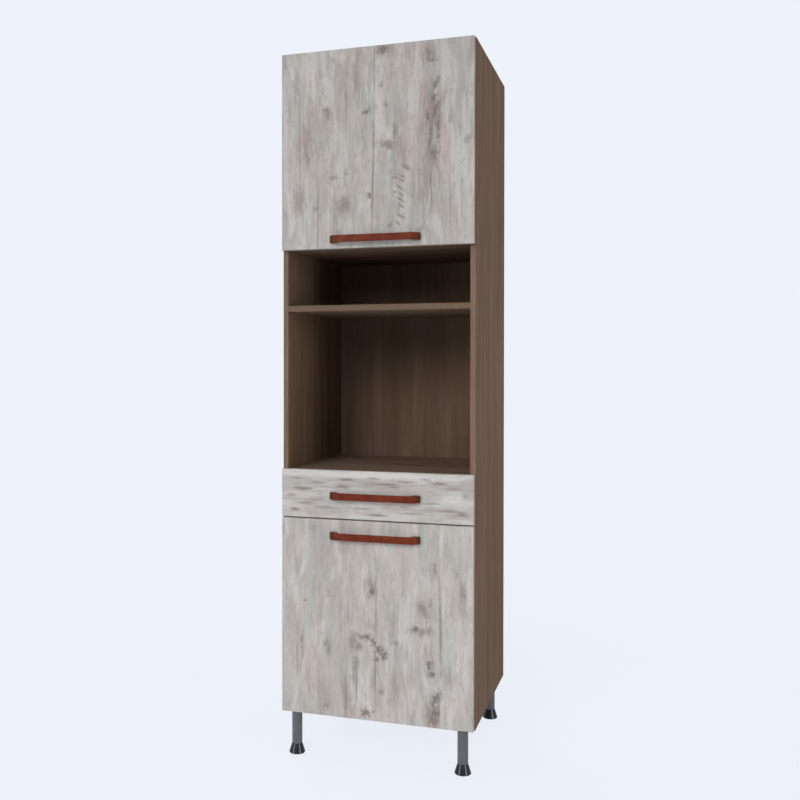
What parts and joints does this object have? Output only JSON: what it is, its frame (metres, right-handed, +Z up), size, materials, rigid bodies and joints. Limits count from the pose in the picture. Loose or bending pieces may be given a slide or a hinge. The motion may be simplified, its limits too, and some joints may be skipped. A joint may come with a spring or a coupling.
{
  "type": "tall oven cabinet",
  "caption": "Tall kitchen unit on legs with a lift-up cupboard front, an open oven niche with a shelf, a drawer and a hinged lower cupboard.",
  "frame": {"origin": "on the floor, under the middle of the object's width and depth", "axes": "+Z up, +X to the right seen from the front, +Y to the back; the fronts face -Y"},
  "size_m": [0.6, 0.61, 2.166],
  "materials": {
    "front_board": "whitewashed pine decor, satin",
    "carcass_board": "brown wood decor, satin",
    "back_board": "brown hardboard",
    "drawer_board": "brown wood decor, satin",
    "copper": "metallic copper paint",
    "zinc": "zinc plated",
    "nickel": "nickel plated",
    "strut_black": "black paint",
    "rod_chrome": "polished",
    "support_plastic": "matt",
    "leg_grey": "satin grey",
    "leg_black": "glossy black"
  },
  "bodies": {
    "cabinet": {"side_panel_left": "carcass_board", "side_panel_right": "carcass_board", "bottom_panel": "carcass_board", "front_rail": "carcass_board", "oven_deck": "carcass_board", "niche_shelf": "carcass_board", "niche_ceiling": "carcass_board", "top_panel": "carcass_board", "lower_shelf": "carcass_board", "upper_shelf": "carcass_board", "back_panel": "back_board", "shelf_supports": "support_plastic", "wall_brackets": "zinc", "runner_cabinet_member_left": "zinc", "runner_cabinet_member_right": "zinc", "flap_hinge_arms": "nickel", "flap_hinge_plates": "nickel", "door_hinge_arms": "nickel", "door_hinge_plates": "nickel", "side_strut_brackets": "zinc", "leg_sockets": "leg_black", "leg_tubes": "leg_grey"},
    "flap": {"upper_flap": "front_board", "flap_handle": "copper", "flap_handle_screws": "zinc", "flap_hinge_cups": "nickel", "flap_hinge_pins": "nickel", "flap_strut_brackets": "zinc"},
    "lower_door": {"lower_door": "front_board", "door_handle": "copper", "door_handle_screws": "zinc", "door_hinge_cups": "nickel", "door_hinge_pins": "nickel"},
    "drawer": {"drawer_front": "front_board", "drawer_handle": "copper", "drawer_handle_screws": "zinc", "drawer_side_left": "drawer_board", "drawer_side_right": "drawer_board", "drawer_box_front": "drawer_board", "drawer_back": "drawer_board", "drawer_base": "back_board", "runner_drawer_member_left": "zinc", "runner_drawer_member_right": "zinc"},
    "runner_middle": {"runner_middle_member_left": "zinc", "runner_middle_member_right": "zinc"},
    "outer_cages": {"runner_outer_cages": "zinc"},
    "inner_cages": {"runner_inner_cages": "zinc"},
    "strut_cylinders": {"strut_cylinders": "strut_black"},
    "strut_rods": {"strut_rods": "rod_chrome"},
    "foot_front_left": {"foot_front_left": "leg_black"},
    "foot_front_right": {"foot_front_right": "leg_black"},
    "foot_rear_left": {"foot_rear_left": "leg_black"},
    "foot_rear_right": {"foot_rear_right": "leg_black"}
  },
  "joints": [
    {"name": "flap_hinge", "type": "hinge", "parent": "cabinet", "child": "flap", "pos_m": [0, -0.2655, 2.1582], "axis": [-1, 0, 0], "range_deg": [0, 90]},
    {"name": "door_hinge", "type": "hinge", "parent": "cabinet", "child": "lower_door", "pos_m": [-0.2912, -0.2655, 0.438], "axis": [0, 0, -1], "range_deg": [0, 105]},
    {"name": "drawer_slide", "type": "slide", "parent": "cabinet", "child": "drawer", "axis": [0, -1, 0], "range_m": [0, 0.48]},
    {"name": "runner_middle_slide", "type": "slide", "parent": "cabinet", "child": "runner_middle", "axis": [0, -1, 0], "range_m": [0, 0.24]},
    {"name": "outer_cage_slide", "type": "slide", "parent": "cabinet", "child": "outer_cages", "axis": [0, -1, 0], "range_m": [0, 0.12]},
    {"name": "inner_cage_slide", "type": "slide", "parent": "cabinet", "child": "inner_cages", "axis": [0, -1, 0], "range_m": [0, 0.36]},
    {"name": "strut_swing", "type": "hinge", "parent": "flap", "child": "strut_cylinders", "pos_m": [0, -0.2455, 2.0732], "axis": [-1, 0, 0], "range_deg": [-110.84, 0]},
    {"name": "strut_stroke", "type": "slide", "parent": "strut_cylinders", "child": "strut_rods", "axis": [0, 0.1694, -0.9855], "range_m": [0, 0.099]},
    {"name": "foot_front_left_level", "type": "slide", "parent": "cabinet", "child": "foot_front_left", "axis": [0, 0, -1], "range_m": [0, 0.02]},
    {"name": "foot_front_right_level", "type": "slide", "parent": "cabinet", "child": "foot_front_right", "axis": [0, 0, -1], "range_m": [0, 0.02]},
    {"name": "foot_rear_left_level", "type": "slide", "parent": "cabinet", "child": "foot_rear_left", "axis": [0, 0, -1], "range_m": [0, 0.02]},
    {"name": "foot_rear_right_level", "type": "slide", "parent": "cabinet", "child": "foot_rear_right", "axis": [0, 0, -1], "range_m": [0, 0.02]}
  ],
  "couplings": [
    {"joint": "runner_middle_slide", "follows": "drawer_slide", "ratio": 0.5},
    {"joint": "outer_cage_slide", "follows": "drawer_slide", "ratio": 0.25},
    {"joint": "inner_cage_slide", "follows": "drawer_slide", "ratio": 0.75},
    {"joint": "strut_swing", "follows": "flap_hinge", "ratio": -1.2304},
    {"joint": "strut_stroke", "follows": "flap_hinge", "m_per_rad": 0.062898}
  ]
}
